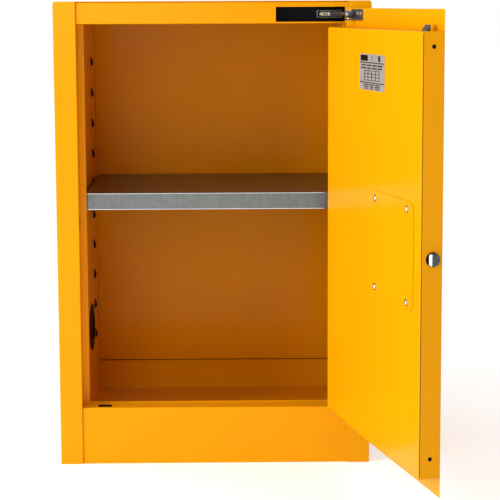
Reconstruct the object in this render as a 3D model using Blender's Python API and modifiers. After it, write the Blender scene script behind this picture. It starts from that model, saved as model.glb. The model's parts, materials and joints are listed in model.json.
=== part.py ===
"""A double-walled steel safety cabinet for flammable liquids, with one self-closing door.

Metres, +Z up. The origin is on the floor under the middle of the body. +X points to the hinge side,
the body's front faces -Y and its back +Y. The door stands open, at the limit of its swing.
"""

import math

import bmesh
import bpy
from mathutils import Matrix, Vector

# Driving dimensions
WIDTH = 0.597
DEPTH = 0.457
HEIGHT = 0.889
SHEET = 0.0012
AIR_SPACE = 0.038
GAP = 0.0003
BEND = 0.0024
OPENING_HALF = 0.256
SILL_TOP = 0.1105
HEADER_BOTTOM = 0.8465
DOOR_OPEN_DEG = 104.0

# Body
SIDE = WIDTH / 2
FRONT = -DEPTH / 2
BACK = DEPTH / 2
WALL = AIR_SPACE + 2 * SHEET
FACE_RECESS = 0.003
JAMB_DEPTH = 0.040
STOP_WIDTH = 0.0114
FRAME_DEPTH = JAMB_DEPTH - 0.0014
POST_BEND = 0.0016
LINER_FRONT = FRONT + JAMB_DEPTH + SHEET + GAP
LINER_BACK = BACK - WALL
LINER_X = OPENING_HALF - SHEET
SUMP_FLOOR = 0.050
SUMP_WALL = 0.0605
CORNER = 0.0055
LID_FLANGE = 0.012
SILL_CORNER = 0.003
SUMP_LIP = SILL_TOP + 0.003

# Louvres: pressed hooks for the shelf clips
LOUVRE_FIRST_Z = 0.756
LOUVRE_PITCH = 0.0635
LOUVRE_COUNT = 10
LOUVRE_HEIGHT = 0.021
LOUVRE_REACH = 0.0048
LOUVRE_LENGTH = 0.024
LOUVRE_DEPTHS = (0.100, 0.315)

# Shelf and clips
SHELF_HALF = 0.2490
SHELF_TOP = 0.522
SHELF_LIP = 0.032
SHELF_DEPTHS = (0.052, 0.4105)
CLIP_LENGTH = 0.022
CLIP_LEDGE = 0.016
CLIP_INSET = 0.0004

# Vents
VENT_RADIUS = 0.030
VENT_RING_RADIUS = 0.047
VENT_DEPTH = DEPTH / 2
VENT_HEIGHTS = {"left": 0.2245, "right": 0.760}
COLLAR_WALL = 0.003
COLLAR_FLANGE = 0.0035
CAP_STAND_OFF = 0.0013

# Levelling feet, just clear of the floor until they are screwed down
FOOT_INSET = 0.045
FOOT_DEPTHS = {"front": 0.072, "rear": DEPTH - FOOT_INSET}
FOOT_CUP_RADIUS = 0.025
FOOT_LIFT = 0.0006

# Grounding stud, on the left side
STUD_DEPTH, STUD_Z = 0.400, 0.075

# Door, in its own closed frame: u runs from the hinge axis to the free edge, t from its outer face inwards
HINGE_X = 0.2505
DOOR_REACH = 0.5045
DOOR_THICK = 0.038
SKIN_START = 0.0045
SKIN_LOW, SKIN_HIGH = 0.0795, 0.875
PAN_START, PAN_END = 0.0085, 0.5025
PAN_LOW, PAN_HIGH = 0.1135, 0.840
KNUCKLE_RADIUS = 0.0034
HINGE_LEAF_DEPTH = 0.028
KNUCKLES = 9
EDGE_HOLE_T = 0.0185
EDGE_HOLE_RADIUS = 0.0037
EDGE_HOLE_HEIGHTS = {"upper": 0.816, "lower": 0.1465}
LABEL_U, LABEL_Z = 0.262, 0.7657
LABEL_HALF_U, LABEL_HALF_Z = 0.0643, 0.031

# Latch
LATCH_U, LATCH_Z = 0.363, 0.4735
RIVET_SPAN_U, RIVET_SPAN_Z = 0.1575, 0.155
COVER_HALF_U, COVER_HALF_Z = 0.110, 0.0905
BOLT_T, BOLT_Z = 0.0175, 0.476
BOLT_RADIUS = 0.0105
BOLT_REACH = 0.013
BOLT_BODY = 0.029
BOLT_SLOPE_DEG = 35.0
TAIL_START = 0.433
ROD_U, ROD_T = 0.464, 0.020
ROD_RADIUS = 0.0045
NOSE_U, NOSE_T = 0.020, 0.014
NOSE_RISE = 0.010
CAM_U, CAM_T = 0.445, 0.0295
CAM_ARM = 0.019
CAM_RADIUS = 0.033
GUIDE_HEIGHTS = {"upper": 0.745, "lower": 0.205}
DISH_HALF_U, DISH_HALF_Z, DISH_DEPTH = 0.055, 0.044, 0.026
LOCK_U = LATCH_U + 0.040
LOCK_RADIUS = 0.0096
PADDLE_DROP = 0.056

# Closer
SLOT_X = (0.1192, 0.249)
SLOT_Z = (0.8497, 0.8775)
CLOSER_Z = 0.864
BALL_U, BALL_T, BALL_RADIUS = 0.054, 0.0125, 0.0078
ARM_LENGTH = 0.074
TRACK_DEPTH = 0.012
SLIDER_X = (0.197, 0.243)
HOUSING_START = 0.094
STUD_RADIUS = 0.0026


def clear_scene():
    for obj in list(bpy.data.objects):
        bpy.data.objects.remove(obj, do_unlink=True)


def new_collection(name):
    collection = bpy.data.collections.new(name)
    bpy.context.scene.collection.children.link(collection)
    return collection


def new_material(name, colour, roughness, metallic=0.0):
    material = bpy.data.materials.new(name)
    material.use_nodes = True
    shader = material.node_tree.nodes["Principled BSDF"]
    shader.inputs["Base Color"].default_value = (*colour, 1.0)
    shader.inputs["Roughness"].default_value = roughness
    shader.inputs["Metallic"].default_value = metallic
    return material


clear_scene()
PARTS = new_collection("safety_cabinet")
CUTTERS = new_collection("cutters")

YELLOW = new_material("yellow_powder_coat", (0.93, 0.40, 0.003), 0.3)
ZINC = new_material("zinc_plated_steel", (0.55, 0.57, 0.58), 0.35, 1.0)
CHROME = new_material("chromed_steel", (0.75, 0.76, 0.78), 0.12, 1.0)
BLACK = new_material("black_moulding", (0.012, 0.012, 0.013), 0.45)
BRASS = new_material("brass", (0.72, 0.50, 0.20), 0.3, 1.0)
FOIL = new_material("foil_plate", (0.60, 0.60, 0.60), 0.4, 0.6)


def depth(distance):
    """The Y of a point that far behind the body's front plane."""
    return FRONT + distance


# Making and combining shapes


def add(name, mesh, material, parent=None, collection=None):
    obj = bpy.data.objects.new(name, mesh)
    (collection or PARTS).objects.link(obj)
    obj.parent = parent
    if material:
        mesh.materials.append(material)
    return obj


def as_cutter(obj):
    obj.hide_render = True
    obj.display_type = "WIRE"
    return obj


def empty(name, location, turn=0.0, parent=None):
    pivot = bpy.data.objects.new(name, None)
    PARTS.objects.link(pivot)
    pivot.location = location
    pivot.rotation_euler.z = turn
    pivot.parent = parent
    return pivot


def block(name, low, high, material=None, parent=None):
    """A box between two corners; with no material it is a cutter or a piece to be joined."""
    bm = bmesh.new()
    bmesh.ops.create_cube(bm, size=1.0)
    low, high = Vector(low), Vector(high)
    bmesh.ops.scale(bm, vec=high - low, verts=bm.verts)
    mesh = bpy.data.meshes.new(name)
    bm.to_mesh(mesh)
    bm.free()
    obj = add(name, mesh, material, parent, PARTS if material else CUTTERS)
    obj.location = (low + high) / 2
    return obj if material else as_cutter(obj)


def combine(obj, other, operation):
    step = obj.modifiers.new(operation.lower(), "BOOLEAN")
    step.operation = operation
    step.solver = "EXACT"
    step.object = other
    return obj


def cut(obj, *others):
    for other in others:
        combine(obj, other, "DIFFERENCE")
    return obj


def join(obj, *others):
    for other in others:
        combine(obj, other, "UNION")
    return obj


def turned(name, profile, location, axis, material=None, parent=None, steps=24, ring=False):
    """A solid of revolution. The profile's (radius, height) points run down its outer side."""
    mesh = bpy.data.meshes.new(name)
    edges = [(i, i + 1) for i in range(len(profile) - 1)]
    if ring:
        edges.append((len(profile) - 1, 0))
    mesh.from_pydata([(radius, 0.0, height) for radius, height in profile], edges, [])
    obj = add(name, mesh, material, parent, PARTS if material else CUTTERS)
    obj.location = location
    obj.rotation_euler = Vector(axis).to_track_quat("Z", "Y").to_euler()
    screw = obj.modifiers.new("turn", "SCREW")
    screw.steps = screw.render_steps = steps
    screw.use_merge_vertices = True
    screw.merge_threshold = 0.00001
    screw.use_smooth_shade = True
    return obj if material else as_cutter(obj)


def rod_profile(radius, top, bottom=0.0):
    return [(0.0, top), (radius, top), (radius, bottom), (0.0, bottom)]


def tube_profile(outer, inner, top, bottom=0.0):
    return [(inner, top), (outer, top), (outer, bottom), (inner, bottom)]


def peg(name, radius, start, axis, length, material=None, parent=None, steps=16):
    return turned(name, rod_profile(radius, length), start, axis, material, parent, steps)


def corner_cutter(name, x, z, radius, sign, y_range):
    """A cutter that rounds the upper outer corner at (x, z) of a plate that faces along Y."""
    centre_x, centre_z = x - sign * radius, z - radius
    xs = sorted((centre_x, x + sign * 0.01))
    cutter = block(name, (xs[0], y_range[0], centre_z), (xs[1], y_range[1], z + 0.01))
    start = (centre_x, y_range[0] - 0.01, centre_z)
    length = y_range[1] - y_range[0] + 0.02
    return cut(cutter, peg(f"{name}_round", radius, start, (0, 1, 0), length, steps=32))


def bent(points, radius, segments=2):
    """The points of an open outline with its inner corners rounded."""
    result = [Vector(points[0])]
    for before, corner, after in zip(points, points[1:], points[2:]):
        corner = Vector(corner)
        back, ahead = (Vector(before) - corner).normalized(), (Vector(after) - corner).normalized()
        reach = radius / math.tan(back.angle(ahead) / 2)
        start, end = corner + back * reach, corner + ahead * reach
        for i in range(segments + 1):
            share = i / segments
            near = start.lerp(corner, share)
            result.append(near.lerp(corner.lerp(end, share), share))
    result.append(Vector(points[-1]))
    return result


def folded(name, section, along, low, high, material, parent=None, radius=BEND, sheet=SHEET, segments=2):
    """A bent sheet: its section's visible side, in the two other axes, swept along X, Y or Z."""
    bm = bmesh.new()
    outline = bent(section, radius, segments)
    rows = []
    for end in (low, high):
        place = {
            "X": lambda p: (end, p.x, p.y),
            "Y": lambda p: (p.x, end, p.y),
            "Z": lambda p: (p.x, p.y, end),
        }[along]
        rows.append([bm.verts.new(place(point)) for point in outline])
    for i in range(len(outline) - 1):
        bm.faces.new((rows[0][i], rows[0][i + 1], rows[1][i + 1], rows[1][i]))
    mesh = bpy.data.meshes.new(name)
    bm.to_mesh(mesh)
    bm.free()
    obj = add(name, mesh, material, parent)
    thicken(obj, sheet)
    return obj


def thicken(obj, sheet=SHEET):
    solid = obj.modifiers.new("sheet", "SOLIDIFY")
    solid.thickness = sheet
    solid.offset = -1.0
    solid.use_even_offset = True


def pan(name, low, high, open_side, material, parent=None, radius=BEND):
    """A folded tray whose outer faces are the box's, without the side that faces open_side."""
    bm = bmesh.new()
    bmesh.ops.create_cube(bm, size=1.0)
    low, high = Vector(low), Vector(high)
    bmesh.ops.scale(bm, vec=high - low, verts=bm.verts)
    bm.normal_update()
    mouth = [face for face in bm.faces if face.normal.dot(Vector(open_side)) > 0.9]
    bmesh.ops.delete(bm, geom=mouth, context="FACES_ONLY")
    mesh = bpy.data.meshes.new(name)
    bm.to_mesh(mesh)
    bm.free()
    obj = add(name, mesh, material, parent)
    obj.location = (low + high) / 2
    bend = obj.modifiers.new("bends", "BEVEL")
    bend.width = radius
    bend.segments = 2
    thicken(obj)
    return obj


def rounded_outline(half_x, half_y, radius, segments=5):
    points = []
    for corner_x, corner_y, start in ((1, 1, 0), (-1, 1, 90), (-1, -1, 180), (1, -1, 270)):
        centre = Vector((corner_x * (half_x - radius), corner_y * (half_y - radius)))
        for i in range(segments + 1):
            angle = math.radians(start + 90 * i / segments)
            points.append(centre + radius * Vector((math.cos(angle), math.sin(angle))))
    return points


def circle_outline(centre, radius, segments=12):
    turns = (2 * math.pi * i / segments for i in range(segments))
    return [Vector(centre) + radius * Vector((math.cos(a), math.sin(a))) for a in turns]


def flat_plate(name, outlines, thickness, location, rotation, material, parent=None):
    """A flat plate from closed outlines in its own XY plane; inner outlines are holes."""
    curve = bpy.data.curves.new(name, "CURVE")
    curve.dimensions = "2D"
    curve.fill_mode = "BOTH"
    curve.extrude = thickness / 2
    for outline in outlines:
        spline = curve.splines.new("POLY")
        spline.points.add(len(outline) - 1)
        for point, place in zip(spline.points, outline):
            point.co = (place.x, place.y, 0.0, 1.0)
        spline.use_cyclic_u = True
    obj = add(name, curve, material, parent)
    obj.location = location
    obj.rotation_euler = rotation
    return as_mesh(obj)


def as_mesh(obj):
    """The mesh object that takes a curve object's place, with the curve's caps welded on."""
    bpy.context.view_layer.update()
    graph = bpy.context.evaluated_depsgraph_get()
    mesh = bpy.data.meshes.new_from_object(obj.evaluated_get(graph))
    bm = bmesh.new()
    bm.from_mesh(mesh)
    bmesh.ops.remove_doubles(bm, verts=bm.verts, dist=0.00001)
    bmesh.ops.recalc_face_normals(bm, faces=bm.faces)
    bm.to_mesh(mesh)
    bm.free()
    name, parent, matrix = obj.name, obj.parent, obj.matrix_world.copy()
    collection = obj.users_collection[0]
    bpy.data.objects.remove(obj, do_unlink=True)
    made = bpy.data.objects.new(name, mesh)
    collection.objects.link(made)
    made.parent = parent
    made.matrix_world = matrix
    return made


def wire(name, points, radius, material=None, parent=None):
    """A round bar along the points, as a mesh."""
    curve = bpy.data.curves.new(name, "CURVE")
    curve.dimensions = "3D"
    curve.bevel_depth = radius
    curve.bevel_resolution = 2
    curve.use_fill_caps = True
    spline = curve.splines.new("POLY")
    spline.points.add(len(points) - 1)
    for point, place in zip(spline.points, points):
        point.co = (*place, 1.0)
    obj = add(name, curve, material, parent, PARTS if material else CUTTERS)
    obj = as_mesh(obj)
    return obj if material else as_cutter(obj)


# Body shell


def side_panel(name, sign):
    """Outer side, front post, jamb and door stop, folded from one sheet."""
    section = [
        (sign * SIDE, BACK - SHEET - GAP),
        (sign * SIDE, FRONT),
        (sign * OPENING_HALF, FRONT),
        (sign * OPENING_HALF, depth(JAMB_DEPTH)),
        (sign * (OPENING_HALF - STOP_WIDTH), depth(JAMB_DEPTH)),
    ]
    if sign > 0:
        section.reverse()
    panel = folded(name, section, "Z", 0.0, HEIGHT, YELLOW, radius=POST_BEND)
    inner, outer = sorted((sign * 0.24, sign * (SIDE - SHEET - GAP)))
    for low, high in ((HEIGHT - SHEET - GAP, HEIGHT + 0.01), (-0.01, SHEET + GAP)):
        end = "top" if low > 0 else "bottom"
        cut(panel, block(f"{name}_{end}_notch", (inner, depth(SHEET + GAP), low), (outer, depth(0.06), high)))
    outside = sorted((sign * (SIDE - SHEET - GAP), sign * (SIDE + 0.01)))
    lid_low = (outside[0], depth(SHEET + GAP), HEIGHT - LID_FLANGE - GAP)
    cut(panel, block(f"{name}_lid_notch", lid_low, (outside[1], BACK + 0.01, HEIGHT + 0.01)))
    cut(panel, body_corner(f"{name}_corner", sign))
    cut(panel, vent_hole(name, "left" if sign < 0 else "right", -0.01))
    return panel


def body_corner(name, sign):
    return corner_cutter(name, sign * SIDE, HEIGHT, CORNER, sign, (FRONT - 0.01, BACK + 0.01))


def vent_hole(name, side, inset):
    """The cutter for a vent's hole in one wall, from that far in from the outer side."""
    inward = (1 if side == "left" else -1, 0, 0)
    return peg(f"{name}_vent_hole", VENT_RADIUS + 0.0015, vent_place(side, inset), inward, 0.03, steps=24)


def vent_place(side, inset):
    """A point on a vent's axis, that far in from the outer side."""
    sign = -1 if side == "left" else 1
    return (sign * (SIDE - inset), depth(VENT_DEPTH), VENT_HEIGHTS[side])


def shell():
    left = side_panel("outer_side_left", -1)
    strike = (-OPENING_HALF + 0.01, depth(BOLT_T), BOLT_Z)
    cut(left, peg("strike_hole", BOLT_RADIUS + 0.0015, strike, (-1, 0, 0), 0.02))
    side_panel("outer_side_right", 1)
    inside = SIDE - SHEET - GAP
    back = block("outer_back", (-SIDE, BACK - SHEET, 0.0), (SIDE, BACK, HEIGHT), YELLOW)
    cut(back, body_corner("outer_back_left_corner", -1), body_corner("outer_back_right_corner", 1))
    flange = HEIGHT - LID_FLANGE
    section = [(-SIDE, flange), (-SIDE, HEIGHT), (SIDE, HEIGHT), (SIDE, flange)]
    front, rear = depth(SHEET + GAP), BACK - SHEET - GAP
    folded("outer_top", section, "Y", front, rear, YELLOW, radius=CORNER, segments=5)
    base()
    frame_members()


def foot_places():
    return {
        f"{row}_{side}": (sign * (SIDE - FOOT_INSET), depth(FOOT_DEPTHS[row]))
        for row in FOOT_DEPTHS
        for side, sign in (("left", -1), ("right", 1))
    }


def base():
    """The bottom panel, with a threaded cup over each levelling foot."""
    inside, front = SIDE - SHEET - GAP, depth(FACE_RECESS + SHEET + GAP)
    bottom = block("outer_bottom", (-inside, front, 0.0), (inside, BACK - SHEET - GAP, SHEET), YELLOW)
    inner = FOOT_CUP_RADIUS - 0.003
    cup = [
        (0.0055, 0.015),
        (FOOT_CUP_RADIUS, 0.015),
        (FOOT_CUP_RADIUS, 0.0004),
        (inner, 0.0004),
        (inner, 0.012),
        (0.0055, 0.012),
    ]
    for where, (x, y) in foot_places().items():
        opening = peg(f"foot_opening_{where}", (FOOT_CUP_RADIUS + inner) / 2, (x, y, -0.01), (0, 0, 1), 0.02)
        cut(bottom, opening)
        join(bottom, turned(f"foot_cup_{where}", cup, (x, y, 0.0), (0, 0, 1), steps=16, ring=True))
        foot(f"levelling_foot_{where}", x, y)


def foot(name, x, y):
    """A threaded stem on a round pad."""
    stem, pad = 0.005, 0.020
    top, neck = 0.034, 0.007
    profile = [(0.0, top), (stem, top), (stem, neck), (0.018, 0.0055), (pad, FOOT_LIFT), (0.0, FOOT_LIFT)]
    turned(name, profile, (x, y, 0.0), (0, 0, 1), BLACK, steps=16)


def frame_members():
    end = OPENING_HALF - GAP
    front, rear = depth(FACE_RECESS), depth(FRAME_DEPTH)
    top = HEIGHT - SHEET - GAP
    header_section = [
        (depth(0.022), top),
        (front, top),
        (front, HEADER_BOTTOM),
        (rear, HEADER_BOTTOM),
        (rear, HEADER_BOTTOM + 0.025),
    ]
    header = folded("header", header_section, "X", -end, end, YELLOW)
    slot = block("closer_slot", (SLOT_X[0], FRONT - 0.01, SLOT_Z[0]), (SLOT_X[1], depth(0.0055), SLOT_Z[1]))
    cut(header, slot, rod_slot("upper_rod_slot", HEADER_BOTTOM))
    sill_section = [
        (rear, SUMP_FLOOR + 0.006),
        (rear, SILL_TOP),
        (front, SILL_TOP),
        (front, 0.0),
    ]
    sill = folded("sill", sill_section, "X", -end, end, YELLOW)
    cut(sill, rod_slot("lower_rod_slot", SILL_TOP))
    for side, sign in (("left", -1), ("right", 1)):
        y_range = (FRONT - 0.01, depth(FACE_RECESS + SHEET + 0.002))
        cut(sill, corner_cutter(f"sill_{side}_corner", sign * end, SILL_TOP, SILL_CORNER, sign, y_range))


def rod_slot(name, height):
    """The strike slot that a door rod's nose drops into."""
    x, y = HINGE_X - ROD_U, depth(ROD_T)
    half_x, half_y = NOSE_U / 2 + 0.003, NOSE_T / 2 + 0.002
    return block(name, (x - half_x, y - half_y, height - 0.008), (x + half_x, y + half_y, height + 0.008))


# Lining


def louvre_cones(name, sign, shrink, wall_side, start, end):
    """One mesh of all the tapered louvre forms of a side, lying against its liner's face."""
    bm = bmesh.new()
    half = LOUVRE_HEIGHT / 2 - shrink
    reach = LOUVRE_REACH - shrink
    turn = Matrix.Rotation(math.radians(-90), 4, "X")
    for front in LOUVRE_DEPTHS:
        middle = depth(front) + (start + end) / 2
        for step in range(LOUVRE_COUNT):
            level = LOUVRE_FIRST_Z - step * LOUVRE_PITCH + LOUVRE_HEIGHT / 2
            cone = bmesh.ops.create_cone(
                bm, cap_ends=True, segments=9, radius1=1.0, radius2=0.12, depth=end - start, matrix=turn
            )
            for vert in cone["verts"]:
                narrowing = 1.0 - 0.45 * vert.co.z
                out = max(vert.co.x * narrowing * reach, -wall_side)
                vert.co.x = sign * (LINER_X - out)
                vert.co.y += middle
                vert.co.z = level + vert.co.z * half
    bmesh.ops.recalc_face_normals(bm, faces=bm.faces)
    mesh = bpy.data.meshes.new(name)
    bm.to_mesh(mesh)
    bm.free()
    return as_cutter(add(name, mesh, None, collection=CUTTERS))


def liner_side(side, sign):
    name = f"liner_{side}"
    xs = sorted((sign * LINER_X, sign * OPENING_HALF))
    liner = block(name, (xs[0], LINER_FRONT, SUMP_FLOOR + GAP), (xs[1], LINER_BACK, HEADER_BOTTOM), YELLOW)
    join(liner, louvre_cones(f"{name}_louvres", sign, 0.0, SHEET / 2, 0.0, LOUVRE_LENGTH))
    cut(liner, louvre_cones(f"{name}_mouths", sign, 0.0011, 0.004, -0.001, 0.8 * LOUVRE_LENGTH))
    cut(liner, vent_hole(name, side, 0.03))


def lining():
    liner_side("left", -1)
    liner_side("right", 1)
    near, ceiling = LINER_BACK + GAP, HEADER_BOTTOM + GAP
    far = near + SHEET
    block("liner_back", (-LINER_X, near, SUMP_FLOOR + GAP), (LINER_X, far, HEADER_BOTTOM), YELLOW)
    block("liner_top", (-OPENING_HALF, LINER_FRONT, ceiling), (OPENING_HALF, far, ceiling + SHEET), YELLOW)
    sump_tray()


def sump_tray():
    """The leak-tight tray under the lower compartment; its front wall laps the sill."""
    half = LINER_X - GAP
    front, back = LINER_FRONT + GAP, LINER_BACK - GAP
    tray = pan("sump_tray", (-half, front, SUMP_FLOOR), (half, back, SUMP_LIP), (0, 0, 1), YELLOW)
    level = SUMP_FLOOR + SUMP_WALL
    cut(tray, block("sump_side_trim", (-0.4, front + 0.004, level), (0.4, back + 0.01, SUMP_LIP + 0.01)))


# Shelf and its clips


def shelf():
    low = (-SHELF_HALF, depth(SHELF_DEPTHS[0]), SHELF_TOP - SHELF_LIP)
    high = (SHELF_HALF, depth(SHELF_DEPTHS[1]), SHELF_TOP)
    pan("shelf", low, high, (0, 0, -1), ZINC)


def shelf_clip(name, sign, front):
    """A plate on the liner with a ledge under the shelf's lip and a tongue into a louvre's mouth."""
    ledge_top = SHELF_TOP - SHELF_LIP - GAP
    wall = LINER_X - CLIP_INSET
    mouth = depth(front)
    near, far = mouth - CLIP_LENGTH, mouth - SHEET
    xs = sorted((sign * (wall - SHEET), sign * wall))
    clip = block(name, (xs[0], near, ledge_top - 0.012), (xs[1], far, ledge_top + 0.024), ZINC)
    xs = sorted((sign * (wall - CLIP_LEDGE), sign * (wall - SHEET / 2)))
    join(clip, block(f"{name}_ledge", (xs[0], near, ledge_top - 0.002), (xs[1], far, ledge_top)))
    xs = sorted((sign * (wall - SHEET + 0.0001), sign * (wall - 0.0001)))
    low = ledge_top + 0.0165
    join(clip, block(f"{name}_tongue", (xs[0], mouth - 0.004, low), (xs[1], mouth + 0.003, low + 0.0045)))


def shelf_clips():
    for row, front in zip(("front", "rear"), LOUVRE_DEPTHS):
        shelf_clip(f"shelf_clip_{row}_left", -1, front)
        shelf_clip(f"shelf_clip_{row}_right", 1, front)


# Vents and grounding


def vent(side):
    """A collar through both walls with an inner ring, a flame screen in it and a screwed cap outside."""
    sign = -1 if side == "left" else 1
    inward = (-sign, 0, 0)
    ring = SIDE - LINER_X + GAP
    bore = VENT_RADIUS - COLLAR_WALL
    profile = [
        (bore, ring + COLLAR_FLANGE),
        (VENT_RING_RADIUS, ring + COLLAR_FLANGE),
        (VENT_RING_RADIUS, ring),
        (VENT_RADIUS, ring),
        (VENT_RADIUS, -0.001),
        (bore, -0.001),
    ]
    turned(f"vent_collar_{side}", profile, vent_place(side, 0.0), inward, BLACK, steps=28, ring=True)
    screen = rod_profile(bore - GAP, SHEET)
    turned(f"flame_screen_{side}", screen, vent_place(side, ring - 0.002), inward, BRASS, steps=20)
    cap = [(0.0, 0.009), (0.031, 0.009), (0.034, 0.006), (0.034, 0.0), (0.0, 0.0)]
    cap = turned(f"vent_cap_{side}", cap, vent_place(side, -CAP_STAND_OFF), (sign, 0, 0), ZINC, steps=24)
    low, high = Vector((-0.0035, -0.022, 0.006)), Vector((0.0035, 0.022, 0.0135))
    grip = block(f"vent_grip_{side}", low, high)
    grip.matrix_world = cap_frame(side, sign) @ Matrix.Translation((low + high) / 2)
    join(cap, grip)


def cap_frame(side, sign):
    turn = Vector((sign, 0, 0)).to_track_quat("Z", "Y").to_matrix().to_4x4()
    return Matrix.Translation(vent_place(side, -CAP_STAND_OFF)) @ turn


def grounding():
    place = (-SIDE - GAP, depth(STUD_DEPTH), STUD_Z)
    stud = [(0.0, 0.016), (0.003, 0.016), (0.003, 0.003), (0.0075, 0.003), (0.0075, 0.0), (0.0, 0.0)]
    turned("ground_stud", stud, place, (-1, 0, 0), BRASS, steps=12)
    hub = (place[0] - 0.0035, place[1], place[2])
    tube = tube_profile(0.006, 0.0033, 0.006)
    nut = turned("ground_wing_nut", tube, hub, (-1, 0, 0), BRASS, steps=12, ring=True)
    for end, sign in (("upper", 1), ("lower", -1)):
        zs = sorted((sign * 0.0045, sign * 0.014))
        low = (hub[0] - 0.0075, hub[1] - 0.001, hub[2] + zs[0])
        high = (hub[0] - 0.001, hub[1] + 0.001, hub[2] + zs[1])
        join(nut, block(f"ground_wing_{end}", low, high))


# Hinge


def hinge(door):
    """A piano hinge: alternate knuckles on a leaf against the jamb and a leaf against the door's pan."""
    axis = (HINGE_X, FRONT, 0.0)
    pin = rod_profile(0.0015, PAN_HIGH + 0.0006, PAN_LOW - 0.0006)
    turned("hinge_pin", pin, axis, (0, 0, 1), ZINC, steps=12)
    jamb_room = OPENING_HALF - GAP - HINGE_X
    frame_leaf = leaf_plate("hinge_leaf_frame", jamb_room - SHEET, jamb_room, 1, axis, None)
    door_leaf = leaf_plate("hinge_leaf_door", PAN_START - GAP - SHEET, PAN_START - GAP, -1, (0, 0, 0), door)
    length = (PAN_HIGH - PAN_LOW) / KNUCKLES
    for i in range(KNUCKLES):
        low, high = PAN_LOW + i * length + GAP, PAN_LOW + (i + 1) * length - GAP
        if i % 2 == 0:
            add_knuckle(frame_leaf, i, low, high, jamb_room - SHEET / 2, 1, axis, None)
        else:
            add_knuckle(door_leaf, i, low, high, PAN_START - GAP - SHEET / 2, -1, (0, 0, 0), door)


def leaf_plate(name, near, far, sign, origin, parent):
    xs = sorted((sign * near, sign * far))
    ox, oy, _ = origin
    low = (ox + xs[0], oy + KNUCKLE_RADIUS - SHEET, PAN_LOW + GAP)
    high = (ox + xs[1], oy + HINGE_LEAF_DEPTH, PAN_HIGH - GAP)
    return block(name, low, high, ZINC, parent)


def add_knuckle(leaf, index, low, high, reach, sign, origin, parent):
    ox, oy, _ = origin
    profile = tube_profile(KNUCKLE_RADIUS, 0.0018, high, low)
    join(leaf, turned(f"knuckle_{index}", profile, origin, (0, 0, 1), parent=parent, steps=12, ring=True))
    xs = sorted((sign * 0.0005, sign * reach))
    neck_low = (ox + xs[0], oy + KNUCKLE_RADIUS - SHEET + 0.00013, low + 0.0006)
    neck_high = (ox + xs[1], oy + KNUCKLE_RADIUS - 0.00024, high - 0.0006)
    join(leaf, block(f"knuckle_neck_{index}", neck_low, neck_high, parent=parent))


# Door

FACING_IN = (math.radians(90), 0, math.radians(180))
FACING_OUT = (math.radians(90), 0, 0)


def on_door(u, t, z):
    """A point of the door in the door pivot's own frame, where the closed door lies along -X."""
    return (-u, t, z)


def door_block(name, low, high, material=None, parent=None):
    """A box given by its (u, t, z) corners."""
    return block(name, (-high[0], low[1], low[2]), (-low[0], high[1], high[2]), material, parent)


def door_shell(door):
    """The two halves of the hollow door: a folded outer skin and an inner pan inside its flanges."""
    section = [(-DOOR_REACH, DOOR_THICK), (-DOOR_REACH, 0.0), (-SKIN_START, 0.0)]
    skin = folded("door_outer_skin", section, "Z", SKIN_LOW, SKIN_HIGH, YELLOW, door)
    for end, low, high in (("top", PAN_HIGH, SKIN_HIGH + 0.01), ("bottom", SKIN_LOW - 0.01, PAN_LOW)):
        cut(skin, door_block(f"skin_{end}_notch", (0.49, SHEET, low), (0.52, 0.05, high), parent=door))
    low, high = on_door(PAN_END, SHEET + GAP, PAN_LOW), on_door(PAN_START, DOOR_THICK, PAN_HIGH)
    inner = pan("door_inner_pan", low, high, (0, -1, 0), YELLOW, door)
    bolt_way = edge_hole("bolt_way", BOLT_RADIUS + 2 * GAP, BOLT_T, BOLT_Z, door)
    cut(skin, bolt_way)
    cut(inner, bolt_way)
    for end, height in EDGE_HOLE_HEIGHTS.items():
        cut(skin, edge_hole(f"{end}_edge_hole", EDGE_HOLE_RADIUS, EDGE_HOLE_T, height, door))
    cut(inner, nose_way("upper", PAN_HIGH, door), nose_way("lower", PAN_LOW, door), latch_access(door))
    half_u, half_z = DISH_HALF_U + 0.001, DISH_HALF_Z + 0.001
    low, high = (LATCH_U - half_u, -0.01, LATCH_Z - half_z), (LATCH_U + half_u, 0.01, LATCH_Z + half_z)
    cut(skin, door_block("dish_opening", low, high, parent=door))
    return inner


def edge_hole(name, radius, t, z, door):
    """The cutter for a round hole through the door's free edge."""
    return peg(name, radius, on_door(0.49, t, z), (-1, 0, 0), 0.03, parent=door, steps=24)


def nose_way(end, height, door):
    half_u, half_t = NOSE_U / 2 + 0.0005, NOSE_T / 2 + 0.0005
    low = (ROD_U - half_u, ROD_T - half_t, height - 0.01)
    high = (ROD_U + half_u, ROD_T + half_t, height + 0.01)
    return door_block(f"{end}_nose_way", low, high, parent=door)


def latch_access(door):
    """The cutter for the window in the inner pan that the cover plate closes."""
    half_u, half_z = COVER_HALF_U - 0.045, COVER_HALF_Z - 0.030
    low = (LATCH_U - half_u, DOOR_THICK - 0.01, LATCH_Z - half_z)
    high = (LATCH_U + half_u, DOOR_THICK + 0.01, LATCH_Z + half_z)
    return door_block("latch_access", low, high, parent=door)


def rivet_places():
    for side, du in (("hinge_side", -1), ("latch_side", 1)):
        for level, dz in (("upper", 1), ("lower", -1)):
            yield f"{level}_{side}", LATCH_U + du * RIVET_SPAN_U / 2, LATCH_Z + dz * RIVET_SPAN_Z / 2


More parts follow.
